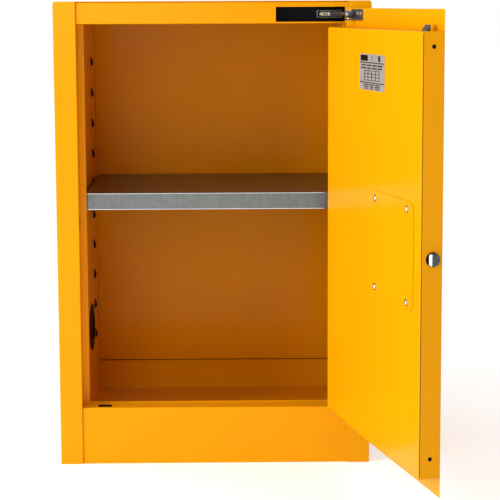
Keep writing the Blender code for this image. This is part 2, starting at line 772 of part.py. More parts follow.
def latch_cover(door, inner):
    """The plate over the latch's access window, with a rivet near each corner."""
    outline = rounded_outline(COVER_HALF_U, COVER_HALF_Z, 0.018)
    holes = [circle_outline((u - LATCH_U, z - LATCH_Z), 0.0026) for _, u, z in rivet_places()]
    place = on_door(LATCH_U, DOOR_THICK + GAP + SHEET / 2, LATCH_Z)
    flat_plate("latch_cover_plate", [outline, *holes], SHEET, place, FACING_IN, YELLOW, door)
    seat = DOOR_THICK + 2 * GAP + SHEET
    profile = [
        (0.0, 0.0021),
        (0.0026, 0.0017),
        (0.0042, 0.0008),
        (0.0047, 0.0),
        (0.0022, 0.0),
        (0.0022, -0.006),
        (0.0, -0.006),
    ]
    for where, u, z in rivet_places():
        turned(f"rivet_{where}", profile, on_door(u, seat, z), (0, 1, 0), ZINC, door, steps=14)
        start = on_door(u, DOOR_THICK - 0.005, z)
        cut(inner, peg(f"rivet_hole_{where}", 0.0026, start, (0, 1, 0), 0.01, parent=door, steps=12))


def rating_plate(door):
    outline = rounded_outline(LABEL_HALF_U, LABEL_HALF_Z, 0.003, 3)
    place = on_door(LABEL_U, DOOR_THICK + 2 * GAP, LABEL_Z)
    flat_plate("rating_plate", [outline], 2 * GAP, place, FACING_IN, FOIL, door)


def latch_dish(door):
    """The recess for the paddle: a tray through the skin with a flange on the door's outer face."""
    low = on_door(LATCH_U + DISH_HALF_U, -GAP - SHEET, LATCH_Z - DISH_HALF_Z)
    high = on_door(LATCH_U - DISH_HALF_U, DISH_DEPTH, LATCH_Z + DISH_HALF_Z)
    dish = pan("latch_dish", low, high, (0, -1, 0), BLACK, door, radius=0.004)
    rim = rounded_outline(DISH_HALF_U + 0.010, DISH_HALF_Z + 0.010, 0.008, 3)
    mouth = rounded_outline(DISH_HALF_U - 0.0008, DISH_HALF_Z - 0.0008, 0.004, 3)
    place = on_door(LATCH_U, -GAP - 0.0008, LATCH_Z)
    rim = flat_plate("latch_rim", [rim, mouth], 0.0016, place, FACING_OUT, None, door)
    move_to_cutters(rim)
    join(dish, rim)
    start = on_door(LOCK_U, DISH_DEPTH - 0.01, LATCH_Z)
    cut(dish, peg("lock_hole", LOCK_RADIUS + 2 * GAP, start, (0, 1, 0), 0.02, parent=door, steps=20))


def move_to_cutters(obj):
    for collection in obj.users_collection:
        collection.objects.unlink(obj)
    CUTTERS.objects.link(obj)
    as_cutter(obj)


def paddle(door):
    """The handle: a plate turning on its upper edge, with a finger lip at its lower one."""
    top = LATCH_Z + DISH_HALF_Z - 0.010
    pivot = empty("paddle_pivot", on_door(LATCH_U, 0.006, top), parent=door)
    latch_side, hinge_side = -0.026, 0.050
    low = -PADDLE_DROP
    handle = block("paddle_handle", (latch_side, -0.003, low), (hinge_side, 0.0005, 0.004), BLACK, pivot)
    lip = block("paddle_lip", (latch_side, -0.0055, low), (hinge_side, 0.0, low + 0.010), parent=pivot)
    join(handle, lip)
    start, length = (latch_side - 0.0005, 0.001, 0.0), hinge_side - latch_side + 0.001
    join(handle, peg("paddle_barrel", 0.0042, start, (1, 0, 0), length, parent=pivot, steps=12))


def lock(door):
    place = on_door(LOCK_U, 0.004, LATCH_Z)
    end, face = 0.0235, LOCK_RADIUS + 0.0019
    profile = [(0.0, end), (LOCK_RADIUS, end), (LOCK_RADIUS, 0.003), (face, 0.0015), (face, 0.0), (0.0, 0.0)]
    barrel = turned("lock_cylinder", profile, place, (0, 1, 0), CHROME, door, steps=20)
    low, high = (LOCK_U - 0.0008, 0.0, LATCH_Z - 0.004), (LOCK_U + 0.0008, 0.009, LATCH_Z + 0.004)
    cut(barrel, door_block("key_slot", low, high, parent=door))


def slam_bolt(door):
    """A round bolt with a slanted nose, and the flat tail that the cam draws back."""
    tip = DOOR_REACH + BOLT_REACH
    start = on_door(tip - BOLT_BODY, BOLT_T, BOLT_Z)
    bolt = peg("slam_bolt", BOLT_RADIUS, start, (-1, 0, 0), BOLT_BODY, CHROME, door, steps=24)
    slope = block("bolt_slope", (-0.06, -0.02, -0.03), (0.0, 0.06, 0.03), parent=door)
    turn = Matrix.Rotation(math.radians(-BOLT_SLOPE_DEG), 4, "Z")
    edge = Matrix.Translation(on_door(tip - 0.002, BOLT_T - BOLT_RADIUS, BOLT_Z))
    slope.matrix_basis = edge @ turn @ Matrix.Translation((-0.03, 0.02, 0.0))
    cut(bolt, slope)
    tail_low = (TAIL_START, BOLT_T - 0.003, BOLT_Z - 0.006)
    tail_high = (tip - BOLT_BODY + 0.002, BOLT_T + 0.0005, BOLT_Z + 0.006)
    join(bolt, door_block("bolt_tail", tail_low, tail_high, parent=door))
    seat = on_door(DOOR_REACH + GAP, BOLT_T, BOLT_Z)
    collar = tube_profile(BOLT_RADIUS + 0.0022, BOLT_RADIUS + GAP, 0.0009)
    turned("bolt_collar", collar, seat, (-1, 0, 0), ZINC, door, steps=24, ring=True)


def door_rod(name, door, sign):
    """A locking rod with a slanted nose; the lower one is cranked to reach the cam's far side."""
    end = PAN_HIGH if sign > 0 else PAN_LOW
    tail_z = BOLT_Z + sign * 0.010
    foot_z = BOLT_Z + sign * 0.075
    arm_u = CAM_U + sign * CAM_ARM
    points = [
        on_door(arm_u, ROD_T + 0.003, tail_z),
        on_door(arm_u, ROD_T + 0.003, foot_z),
        on_door(ROD_U, ROD_T, foot_z + sign * 0.070),
        on_door(ROD_U, ROD_T, end - sign * 0.040),
    ]
    rod = wire(name, points, ROD_RADIUS, ZINC, door)
    zs = sorted((end - sign * 0.044, end + sign * NOSE_RISE))
    nose = (ROD_U - NOSE_U / 2, ROD_T - NOSE_T / 2, zs[0]), (ROD_U + NOSE_U / 2, ROD_T + NOSE_T / 2, zs[1])
    join(rod, door_block(f"{name}_nose", *nose, parent=door))
    slope = block(f"{name}_slope", (-0.03, 0.0, -0.03), (0.03, 0.06, 0.03), parent=door)
    tip = Matrix.Translation(on_door(ROD_U, ROD_T - NOSE_T / 2 + 0.002, end + sign * NOSE_RISE))
    turn = Matrix.Rotation(math.radians(sign * -55), 4, "X")
    slope.matrix_basis = tip @ turn @ Matrix.Translation((0.0, 0.03, 0.03 * sign))
    cut(rod, slope)


def rod_guides(door):
    for where, height in GUIDE_HEIGHTS.items():
        low = (ROD_U - 0.012, ROD_T - 0.011, height - 0.008)
        high = (ROD_U + 0.012, DOOR_THICK - SHEET - GAP, height + 0.008)
        guide = door_block(f"rod_guide_{where}", low, high, BLACK, door)
        start = on_door(ROD_U, ROD_T, height - 0.02)
        cut(guide, peg(f"rod_guide_bore_{where}", ROD_RADIUS + 0.0006, start, (0, 0, 1), 0.04, parent=door))


def latch_cam(door):
    """The disc that turns the paddle's pull into the rods' and the bolt's travel."""
    disc, hub = 0.0028, 0.004
    profile = [(0.0, hub), (0.006, hub), (0.006, disc), (CAM_RADIUS, disc), (CAM_RADIUS, 0.0), (0.0, 0.0)]
    turned("latch_cam", profile, on_door(CAM_U, CAM_T, BOLT_Z), (0, 1, 0), ZINC, door, steps=28)


# Closer


def arm_ends():
    """World places of the ball on the open door and of the arm's other end in the track."""
    turn = math.radians(DOOR_OPEN_DEG)
    x = HINGE_X - BALL_U * math.cos(turn) - BALL_T * math.sin(turn)
    y = FRONT - BALL_U * math.sin(turn) + BALL_T * math.cos(turn)
    drop = depth(TRACK_DEPTH) - y
    return Vector((x, y)), Vector((x - math.sqrt(ARM_LENGTH**2 - drop**2), depth(TRACK_DEPTH)))


def closer_housing():
    """The black box behind the header's slot, which holds the track and the closing spring."""
    low = (HOUSING_START, depth(FACE_RECESS + SHEET + 2 * GAP), HEADER_BOTTOM + SHEET + 0.0008)
    high = (HINGE_X - 0.0002, depth(0.030), 0.8810)
    pan("closer_housing", low, high, (0, -1, 0), BLACK, radius=0.001)


def closer_slider():
    """The channel that runs in the track, and the two-part link that lets go in a fire."""
    front, rear = depth(0.008), depth(0.022)
    low, high = CLOSER_Z - 0.0069, CLOSER_Z + 0.0069
    section = [(front, low), (rear, low), (rear, high), (front, high)]
    folded("closer_slider", section, "X", *SLIDER_X, ZINC, radius=0.002)
    outline = rounded_outline(0.0185, 0.0042, 0.0041, 4)
    holes = [circle_outline((x, 0.0), 0.0016, 8) for x in (-0.013, 0.013)]
    place = (sum(SLIDER_X) / 2, depth(0.0195), CLOSER_Z)
    flat_plate("fusible_link", [outline, *holes], 0.0014, place, FACING_OUT, BRASS)


def closer_arm(door):
    """A bar with a ball over the door's stud and an eye on the slider's pin."""
    ball, track_end = arm_ends()
    heading = math.atan2(track_end.y - ball.y, track_end.x - ball.x)
    pivot = empty("arm_pivot", on_door(BALL_U, BALL_T, CLOSER_Z), heading - math.radians(DOOR_OPEN_DEG), door)
    mesh = bpy.data.meshes.new("closer_arm")
    bm = bmesh.new()
    bmesh.ops.create_uvsphere(bm, u_segments=16, v_segments=10, radius=BALL_RADIUS)
    bm.to_mesh(mesh)
    bm.free()
    mesh.shade_smooth()
    arm = add("closer_arm", mesh, ZINC, pivot)
    rod = peg("arm_rod", 0.0033, (0.003, 0.0, 0.0), (1, 0, 0), ARM_LENGTH - 0.007, parent=pivot, steps=12)
    join(arm, rod)
    eye = rod_profile(0.0045, 0.0038, -0.0038)
    join(arm, turned("arm_eye", eye, (ARM_LENGTH, 0.0, 0.0), (0, 0, 1), parent=pivot, steps=16))
    start = (ARM_LENGTH, 0.0, -0.01)
    cut(arm, peg("arm_eye_hole", STUD_RADIUS, start, (0, 0, 1), 0.02, parent=pivot, steps=12))
    cut(arm, peg("ball_socket", 0.0034, (0.0, 0.0, -0.02), (0, 0, 1), 0.022, parent=pivot, steps=14))


def closer_bracket(door):
    """A plate on the door's skin with a tab under the arm's ball, and the stud in the ball."""
    base = CLOSER_Z - BALL_RADIUS - 0.0035
    corner = (BALL_U - 0.009, SHEET + GAP, base)
    plate_end = (BALL_U + 0.050, corner[1] + 0.0025, CLOSER_Z + 0.009)
    bracket = door_block("closer_bracket", corner, plate_end, ZINC, door)
    tab_end = (BALL_U + 0.009, BALL_T + 0.006, base + 0.0026)
    join(bracket, door_block("closer_tab", corner, tab_end, parent=door))
    start = on_door(BALL_U, BALL_T, base - 0.01)
    cut(bracket, peg("stud_hole", STUD_RADIUS + GAP, start, (0, 0, 1), 0.02, parent=door, steps=12))
    stud = rod_profile(STUD_RADIUS, CLOSER_Z + 0.0010, base - 0.0006)
    turned("closer_stud", stud, on_door(BALL_U, BALL_T, 0.0), (0, 0, 1), CHROME, door, steps=12)


def build_door():
    door = empty("door_pivot", (HINGE_X, FRONT, 0.0), math.radians(DOOR_OPEN_DEG))
    hinge(door)
    inner = door_shell(door)
    latch_cover(door, inner)
    rating_plate(door)
    latch_dish(door)
    paddle(door)
    lock(door)
    slam_bolt(door)
    door_rod("upper_rod", door, 1)
    door_rod("lower_rod", door, -1)
    rod_guides(door)
    latch_cam(door)
    closer_arm(door)
    closer_bracket(door)


shell()
lining()
shelf()
shelf_clips()
vent("left")
vent("right")
grounding()
closer_housing()
closer_slider()
build_door()
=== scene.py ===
"""Looks for a yellow steel safety cabinet for flammable liquids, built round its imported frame.

Metres, +Z up. The body's front faces -Y, the hinge is on the +X side, and the door stands open.
The door's pieces are placed in the door's own frame, as when it is shut: X is 0 at the hinge's axis and
falls towards the free edge, and Y is 0 at the door's outer face and grows inwards.
"""

import json
import math

import bmesh
import bpy
from mathutils import Matrix, Vector


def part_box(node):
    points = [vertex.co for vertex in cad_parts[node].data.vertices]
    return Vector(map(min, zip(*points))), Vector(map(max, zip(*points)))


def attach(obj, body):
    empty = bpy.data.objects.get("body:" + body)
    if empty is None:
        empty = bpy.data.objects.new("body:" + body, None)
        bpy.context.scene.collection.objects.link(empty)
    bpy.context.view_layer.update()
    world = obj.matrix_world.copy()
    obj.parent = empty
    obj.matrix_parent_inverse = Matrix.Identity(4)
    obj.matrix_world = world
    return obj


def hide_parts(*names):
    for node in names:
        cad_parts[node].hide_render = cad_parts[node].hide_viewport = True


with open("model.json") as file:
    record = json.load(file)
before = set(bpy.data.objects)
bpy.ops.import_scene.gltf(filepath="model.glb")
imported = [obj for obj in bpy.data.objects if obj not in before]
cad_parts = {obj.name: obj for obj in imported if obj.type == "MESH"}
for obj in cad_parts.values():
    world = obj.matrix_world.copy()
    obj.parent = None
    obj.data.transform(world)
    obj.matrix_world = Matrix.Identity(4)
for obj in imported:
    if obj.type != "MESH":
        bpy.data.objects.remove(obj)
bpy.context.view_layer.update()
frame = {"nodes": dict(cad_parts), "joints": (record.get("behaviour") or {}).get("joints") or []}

SCENE = bpy.context.scene
NODES = frame["nodes"]
JOINTS = {joint["name"]: joint for joint in frame["joints"]}

# Camera, as a product photographer sets it: level with the top, looking slightly down
CAMERA_PLACE = (0.0302, -3.2973, 0.8883)
CAMERA_DOWN = math.radians(7.572)
CAMERA_TURN = math.radians(-0.726)
CAMERA_ROLL = math.radians(-0.239)
CAMERA_LENS = 117.18
CAMERA_SENSOR = 36
CAMERA_SHIFT = -0.065

# Sky: the strength of its parts, and the stretches of direction where one passes into the next
SKY_FRONT, SKY_SIDE, SKY_TOP = 0.02, 0.4, 1.3
FRONT_TO_SIDE = (-0.9, 0.1)
SIDE_TO_TOP = (0.25, 0.85)

# Softboxes: place, side and power in watts
SOFTBOXES = {
    "window_left": ((-3.1, -1.7, 1.3), 2.2, 118),
    "front_fill": ((-0.8, -3.8, 1.5), 1.6, 25),
}
SOFTBOX_AIM = (0, 0, 0.45)

# Floor
FLOOR_RADIUS = 60.0
FLOOR_SIDES = 96
FLOOR_GLOW = 0.33
FLOOR_PALE, FLOOR_PALER = (0.86, 0.86, 0.86), (0.88, 0.88, 0.88)

# Edges of the frame's own nodes
SHEET = 0.0012
SHEET_BEND = 0.0004
SMALL_EDGE = 0.0003
EDGE_STEPS = 2
EDGE_ANGLE = math.radians(33)
FLAT_ANGLE = math.radians(0.6)
WELD_DISTANCE = 0.00001

# Door
HINGE = Vector(JOINTS["door_hinge"]["pos_m"])
DOOR_OPEN = math.radians(-min(JOINTS["door_hinge"]["range_deg"]))
DOOR = Matrix.Translation((HINGE.x, HINGE.y, 0)) @ Matrix.Rotation(DOOR_OPEN, 4, "Z")
OUTWARD = Vector((0, -1, 0))
INWARD = Vector((0, 1, 0))
EDGEWISE = Vector((-1, 0, 0))
EDGE_HOLE_Y = 0.0185
EDGE_HOLE_HEIGHTS = {"upper": 0.816, "lower": 0.1465}

# Louvres for the shelf's clips, and how far from the middle the liners stand that they are pressed from
LOUVRE_FIRST, LOUVRE_PITCH, LOUVRE_COUNT = 0.7665, 0.0635, 10
LOUVRE_DEPTHS = (0.100, 0.315)
LINER_X = 0.2550

# Slots in the sill and the header for the door's rods
STRIKE_PLACE = (-0.2135, -0.2085)
STRIKE_HALF_X, STRIKE_HALF_Y = 0.0130, 0.0090

SIDES = {"left": -1, "right": 1}


# ---------------------------------------------------------------- node helpers


def ranged(tree, value, span, low=0.0, high=1.0, curve="LINEAR"):
    """Turns a span of values into the stretch from low to high."""
    node = tree.nodes.new("ShaderNodeMapRange")
    node.interpolation_type = curve
    tree.links.new(value, node.inputs["Value"])
    ends = {"From Min": span[0], "From Max": span[1], "To Min": low, "To Max": high}
    for name, end in ends.items():
        node.inputs[name].default_value = end
    return node.outputs["Result"]


class Shader:
    """A Principled material whose nodes are added one call at a time."""

    def __init__(self, name, colour, roughness, metallic=0.0, specular=0.5):
        self.material = bpy.data.materials.new(name)
        self.material.use_nodes = True
        self.tree = self.material.node_tree
        self.bsdf = self.tree.nodes["Principled BSDF"]
        self.bsdf.inputs["Base Color"].default_value = (*colour, 1)
        self.bsdf.inputs["Roughness"].default_value = roughness
        self.bsdf.inputs["Metallic"].default_value = metallic
        self.bsdf.inputs["Specular IOR Level"].default_value = specular
        self.place = self.tree.nodes.new("ShaderNodeTexCoord").outputs["Object"]

    def node(self, kind, **settings):
        made = self.tree.nodes.new("ShaderNode" + kind)
        for key, value in settings.items():
            setattr(made, key, value)
        return made

    def link(self, source, target):
        self.tree.links.new(source, target)

    def stretched(self, scale):
        mapping = self.node("Mapping")
        self.link(self.place, mapping.inputs["Vector"])
        mapping.inputs["Scale"].default_value = scale
        return mapping.outputs["Vector"]

    def noise(self, scale, detail=3.0, rough=0.5, stretch=(1, 1, 1)):
        texture = self.node("TexNoise")
        self.link(self.stretched(stretch), texture.inputs["Vector"])
        texture.inputs["Scale"].default_value = scale
        texture.inputs["Detail"].default_value = detail
        texture.inputs["Roughness"].default_value = rough
        return texture.outputs["Fac"]

    def cells(self, scale, output="Color"):
        texture = self.node("TexVoronoi")
        self.link(self.place, texture.inputs["Vector"])
        texture.inputs["Scale"].default_value = scale
        return texture.outputs[output]

    def remap(self, value, low=0.0, high=1.0, start=0.3, end=0.7):
        """Goes from low to high as the value goes from start to end."""
        return ranged(self.tree, value, (start, end), low, high)

    def mix(self, factor, first, second):
        """A mix of two colours, each a tuple or a socket."""
        mixed = self.node("Mix", data_type="RGBA")
        self.link(factor, mixed.inputs["Factor"])
        for name, colour in (("A", first), ("B", second)):
            socket = next(s for s in mixed.inputs if s.name == name and s.type == "RGBA")
            if isinstance(colour, tuple):
                socket.default_value = (*colour, 1)
            else:
                self.link(colour, socket)
        return next(s for s in mixed.outputs if s.type == "RGBA")

    def bump(self, height, distance, strength, below=None):
        bumped = self.node("Bump")
        bumped.inputs["Strength"].default_value = strength
        bumped.inputs["Distance"].default_value = distance
        self.link(height, bumped.inputs["Height"])
        if below is not None:
            self.link(below, bumped.inputs["Normal"])
        return bumped.outputs["Normal"]

    def finish(self, colour=None, roughness=None, normal=None):
        for name, socket in (("Base Color", colour), ("Roughness", roughness), ("Normal", normal)):
            if socket is not None:
                self.link(socket, self.bsdf.inputs[name])
        return self.material


# ---------------------------------------------------------------- materials


def powder_coat():
    """Gloss yellow powder coat: orange peel, slow drifts of tone and gloss, and a few specks in the film."""
    light, dark, speck_tone = (0.80, 0.322, 0.001), (0.76, 0.304, 0.001), (0.418, 0.1672, 0.00055)
    shader = Shader("yellow_powder_coat", light, roughness=0.2, specular=0.07)
    tone = shader.mix(shader.remap(shader.noise(scale=5.0, detail=2.0)), light, dark)
    speck = shader.remap(shader.noise(scale=1400.0, detail=1.0), high=0.16, start=0.62, end=0.8)
    tone = shader.mix(speck, tone, speck_tone)
    gloss = shader.remap(shader.noise(scale=9.0, detail=4.0), low=0.15, high=0.22)
    peel = shader.bump(shader.noise(scale=520.0, detail=2.0), distance=0.00005, strength=0.4)
    fine = shader.bump(shader.noise(scale=2600.0, detail=1.0), distance=0.00002, strength=0.5, below=peel)
    return shader.finish(tone, gloss, fine)


def zinc():
    """Galvanised sheet: small crystals that differ in tone and gloss, under upright rolling lines."""
    shader = Shader("zinc_plated_steel", (0.55, 0.57, 0.58), roughness=0.4, metallic=1.0)
    spangle = shader.node("SeparateColor")
    shader.link(shader.cells(scale=150.0), spangle.inputs["Color"])
    crystal = shader.remap(spangle.outputs["Red"], start=0.0, end=1.0)
    tone = shader.mix(crystal, (0.18, 0.195, 0.187), (0.215, 0.23, 0.222))
    lines = shader.remap(shader.noise(scale=60.0, detail=4.0, stretch=(6.0, 6.0, 0.4)), high=0.4)
    tone = shader.mix(lines, tone, (0.16, 0.168, 0.163))
    gloss = shader.remap(spangle.outputs["Green"], low=0.34, high=0.42, start=0.0, end=1.0)
    grain = shader.bump(shader.noise(scale=900.0), distance=0.00004, strength=0.4)
    return shader.finish(tone, gloss, grain)


def chrome():
    """Bright plating, slightly clouded, with hairline scratches."""
    shader = Shader("chromed_steel", (0.75, 0.76, 0.78), roughness=0.12, metallic=1.0)
    cloud = shader.remap(shader.noise(scale=80.0, detail=4.0))
    tone = shader.mix(cloud, (0.78, 0.79, 0.81), (0.66, 0.67, 0.70))
    gloss = shader.remap(shader.noise(scale=300.0, detail=5.0, rough=0.7), low=0.07, high=0.2)
    lines = shader.noise(scale=700.0, detail=2.0, stretch=(1, 1, 14))
    return shader.finish(tone, gloss, shader.bump(lines, distance=0.00001, strength=0.3))


def dark_steel():
    """Hardened steel with a dark oil finish, rubbed brighter in places."""
    shader = Shader("dark_steel", (0.10, 0.105, 0.10), roughness=0.3, metallic=1.0)
    rubbed = shader.remap(shader.noise(scale=420.0, detail=4.0, rough=0.6), start=0.45, end=0.75)
    tone = shader.mix(rubbed, (0.07, 0.075, 0.073), (0.20, 0.21, 0.20))
    gloss = shader.remap(shader.noise(scale=250.0), low=0.2, high=0.38)
    grain = shader.bump(shader.noise(scale=1500.0, detail=2.0), distance=0.00001, strength=0.4)
    return shader.finish(tone, gloss, grain)


def black_moulding():
    """Black plastic with a fine pebbled grain and a soft, uneven gloss."""
    deep, pale = (0.003, 0.003, 0.003), (0.006, 0.006, 0.006)
    shader = Shader("black_moulding", pale, roughness=0.5, specular=0.09)
    tone = shader.mix(shader.remap(shader.noise(scale=60.0)), deep, pale)
    gloss = shader.remap(shader.noise(scale=160.0, detail=4.0), low=0.38, high=0.55)
    grain = shader.bump(shader.cells(scale=1500.0, output="Distance"), distance=0.00006, strength=0.45)
    return shader.finish(tone, gloss, grain)


def brass():
    """Brass, tarnished brown in clouds."""
    shader = Shader("brass", (0.45, 0.36, 0.22), roughness=0.3, metallic=1.0)
    tarnish = shader.remap(shader.noise(scale=120.0, detail=5.0, rough=0.6), start=0.4, end=0.75)
    tone = shader.mix(tarnish, (0.42, 0.36, 0.24), (0.22, 0.17, 0.10))
    gloss = shader.remap(shader.noise(scale=200.0), low=0.22, high=0.42)
    grain = shader.bump(shader.noise(scale=1200.0, detail=2.0), distance=0.00002, strength=0.4)
    return shader.finish(tone, gloss, grain)


def foil_plate():
    """Brushed foil, half matt, its lines running level."""
    shader = Shader("foil_plate", (0.60, 0.60, 0.60), roughness=0.4, metallic=0.5)
    brushed = shader.noise(scale=260.0, stretch=(0.15, 0.15, 6.0))
    tone = shader.mix(shader.remap(brushed), (0.40, 0.41, 0.40), (0.48, 0.49, 0.48))
    gloss = shader.remap(shader.noise(scale=90.0), low=0.34, high=0.5)
    return shader.finish(tone, gloss, shader.bump(brushed, distance=0.00002, strength=0.4))


# ---------------------------------------------------------------- stage


def stage():
    """A wide pale floor, matt and glowing a little, so that it runs into the white backdrop."""
    bpy.ops.mesh.primitive_circle_add(vertices=FLOOR_SIDES, radius=FLOOR_RADIUS, fill_type="NGON")
    floor = bpy.context.object
    floor.name = "studio_floor"
    shader = Shader("studio_floor", FLOOR_PALE, roughness=0.9, specular=0.0)
    tone = shader.mix(shader.remap(shader.noise(scale=0.7)), FLOOR_PALE, FLOOR_PALER)
    shader.bsdf.inputs["Emission Color"].default_value = (1, 1, 1, 1)
    shader.bsdf.inputs["Emission Strength"].default_value = FLOOR_GLOW
    floor.data.materials.append(shader.finish(tone))


def sky():
    """An overcast studio ceiling: bright overhead, dim towards the front, and white where it is seen."""
    world = bpy.data.worlds.new("studio")
    SCENE.world = world
    world.use_nodes = True
    tree = world.node_tree
    tree.nodes.clear()
    place = tree.nodes.new("ShaderNodeTexCoord")
    split = tree.nodes.new("ShaderNodeSeparateXYZ")
    tree.links.new(place.outputs["Generated"], split.inputs[0])
    side = ranged(tree, split.outputs["Y"], FRONT_TO_SIDE, SKY_FRONT, SKY_SIDE)
    up = ranged(tree, split.outputs["Z"], SIDE_TO_TOP, curve="SMOOTHSTEP")
    blend = tree.nodes.new("ShaderNodeMix")
    tree.links.new(up, blend.inputs[0])
    tree.links.new(side, blend.inputs[2])
    blend.inputs[3].default_value = SKY_TOP
    light = tree.nodes.new("ShaderNodeBackground")
    tree.links.new(blend.outputs[0], light.inputs["Strength"])
    seen = tree.nodes.new("ShaderNodeBackground")
    seen.inputs["Strength"].default_value = 1.0
    seen.inputs["Color"].default_value = (1, 1, 1, 1)
    path = tree.nodes.new("ShaderNodeLightPath")
    choose = tree.nodes.new("ShaderNodeMixShader")
    tree.links.new(path.outputs["Is Camera Ray"], choose.inputs[0])
    tree.links.new(light.outputs[0], choose.inputs[1])
    tree.links.new(seen.outputs[0], choose.inputs[2])
    output = tree.nodes.new("ShaderNodeOutputWorld")
    tree.links.new(choose.outputs[0], output.inputs[0])


def softboxes():
    for name, (place, side, power) in SOFTBOXES.items():
        data = bpy.data.lights.new(name, "AREA")
        data.shape = "RECTANGLE"
        data.size = side
        data.size_y = side
        data.energy = power
        lamp = bpy.data.objects.new(name, data)
        lamp.location = place
        aim = Vector(SOFTBOX_AIM) - Vector(place)
        lamp.rotation_euler = aim.to_track_quat("-Z", "Y").to_euler()
        SCENE.collection.objects.link(lamp)


def camera():
    data = bpy.data.cameras.new("camera")
    data.lens = CAMERA_LENS
    data.sensor_width = CAMERA_SENSOR
    data.shift_y = CAMERA_SHIFT
    eye = bpy.data.objects.new("camera", data)
    eye.location = CAMERA_PLACE
    aim = Matrix.Rotation(CAMERA_TURN, 3, "Z") @ Matrix.Rotation(math.pi / 2 - CAMERA_DOWN, 3, "X")
    eye.rotation_euler = (aim @ Matrix.Rotation(CAMERA_ROLL, 3, "Z")).to_euler()
    SCENE.collection.objects.link(eye)
    SCENE.camera = eye


# ---------------------------------------------------------------- the frame's own nodes


def soften(node, width):
    """Rounds a CAD node's edges, with modifiers only."""
    for face in node.data.polygons:
        face.use_smooth = True
    weld = node.modifiers.new("weld", "WELD")
    weld.merge_threshold = WELD_DISTANCE
    flat = node.modifiers.new("flat", "DECIMATE")
    flat.decimate_type = "DISSOLVE"
    flat.angle_limit = FLAT_ANGLE
    bevel = node.modifiers.new("bevel", "BEVEL")
    bevel.width = width
    bevel.segments = EDGE_STEPS
    bevel.limit_method = "ANGLE"
    bevel.angle_limit = EDGE_ANGLE
    normals = node.modifiers.new("normals", "WEIGHTED_NORMAL")
    normals.keep_sharp = False


def dress_frame():
    for name, node in NODES.items():
        slot = node.material_slots[0].material.name
        node.material_slots[0].material = FINISHES[slot]
        folded = slot == "yellow_powder_coat" or name == "shelf"
        soften(node, SHEET_BEND if folded else SMALL_EDGE)


# ---------------------------------------------------------------- mesh helpers


def at(place, axis=(0, 0, 1), base=None):
    """A frame at a point with its Z along the axis, both in the base frame's terms."""
    turn = Vector(axis).to_track_quat("Z", "Y").to_matrix().to_4x4()
    frame_there = Matrix.Translation(place) @ turn
    return base @ frame_there if base else frame_there


def door_box(name):
    """The lowest and highest corners of a CAD node in the door's frame."""
    into_door = DOOR.inverted()
    points = [into_door @ vert.co for vert in NODES[name].data.vertices]
    return Vector(map(min, *points)), Vector(map(max, *points))


def lathe(bm, profile, place, steps, ring=False, shape=None):
    """Turns a profile of (radius, height) points round the place's Z.

    A profile that starts and ends at radius 0 is closed, and ring joins its last point to its first.
    shape may change a radius with the angle, for lobes, flutes or knurls.
    """
    rows = []
    for radius, height in profile:
        row = []
        for i in range(steps if radius else 1):
            angle = 2 * math.pi * i / steps
            reach = shape(radius, angle) if shape and radius else radius
            point = Vector((reach * math.cos(angle), reach * math.sin(angle), height))
            row.append(bm.verts.new(place @ point))
        rows.append(row)
    pairs = list(zip(rows, rows[1:]))
    if ring:
        pairs.append((rows[-1], rows[0]))
    for first, second in pairs:
        for i in range(steps):
            here, there = [row[i % len(row)] for row in (first, second)]
            next_here, next_there = [row[(i + 1) % len(row)] for row in (first, second)]
            bm.faces.new(list(dict.fromkeys((here, next_here, next_there, there))))


def slab(bm, outline, low, high, place):
    """A plate of any outline, its own Z from low to high."""
    bottom = [bm.verts.new(place @ Vector((x, y, low))) for x, y in outline]
    top = [bm.verts.new(place @ Vector((x, y, high))) for x, y in outline]
    bm.faces.new(bottom[::-1])
    bm.faces.new(top)
    for i in range(len(outline)):
        j = (i + 1) % len(outline)
        bm.faces.new((bottom[i], bottom[j], top[j], top[i]))


def rectangle(half_x, half_y, radius, centre=(0, 0), segments=6):
    """The outline of a rectangle with rounded corners."""
    points = []
    for sign_x, sign_y, start in ((1, 1, 0), (-1, 1, 90), (-1, -1, 180), (1, -1, 270)):
        for i in range(segments + 1):
            angle = math.radians(start + 90 * i / segments)
            x = sign_x * (half_x - radius) + radius * math.cos(angle)
            y = sign_y * (half_y - radius) + radius * math.sin(angle)
            points.append((centre[0] + x, centre[1] + y))
    return points


def trim(bm, place, normal):
    """Cuts away what lies beyond a plane, and closes the cut."""
    every = bm.verts[:] + bm.edges[:] + bm.faces[:]
    cut = bmesh.ops.bisect_plane(bm, geom=every, plane_co=place, plane_no=normal, clear_outer=True)
    loop = [part for part in cut["geom_cut"] if isinstance(part, bmesh.types.BMEdge)]
    bmesh.ops.edgeloop_fill(bm, edges=loop)


def piece(name, bm, finish, body, instead_of=(), edge=0.0, smooth=40):
    """Finishes a mesh as a piece of the object that rides on a body.

    Folds sharper than smooth degrees are rounded by the edge's width, or left sharp where it is 0.
    """
    bmesh.ops.recalc_face_normals(bm, faces=bm.faces)
    mesh = bpy.data.meshes.new(name)
    bm.to_mesh(mesh)
    bm.free()
    finishes = finish if isinstance(finish, tuple) else (finish,)
    for one in finishes:
        mesh.materials.append(FINISHES[one])
    mesh.shade_smooth()
    obj = bpy.data.objects.new(name, mesh)
    SCENE.collection.objects.link(obj)
    if edge:
        bevel = obj.modifiers.new("edge", "BEVEL")
        bevel.width = edge
        bevel.segments = EDGE_STEPS
        bevel.limit_method = "ANGLE"
        bevel.angle_limit = math.radians(smooth)
        obj.modifiers.new("normals", "WEIGHTED_NORMAL").keep_sharp = True
    else:
        mesh.set_sharp_from_angle(angle=math.radians(smooth))
    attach(obj, body)
    if instead_of:
        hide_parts(*instead_of)


# ---------------------------------------------------------------- pieces of the door


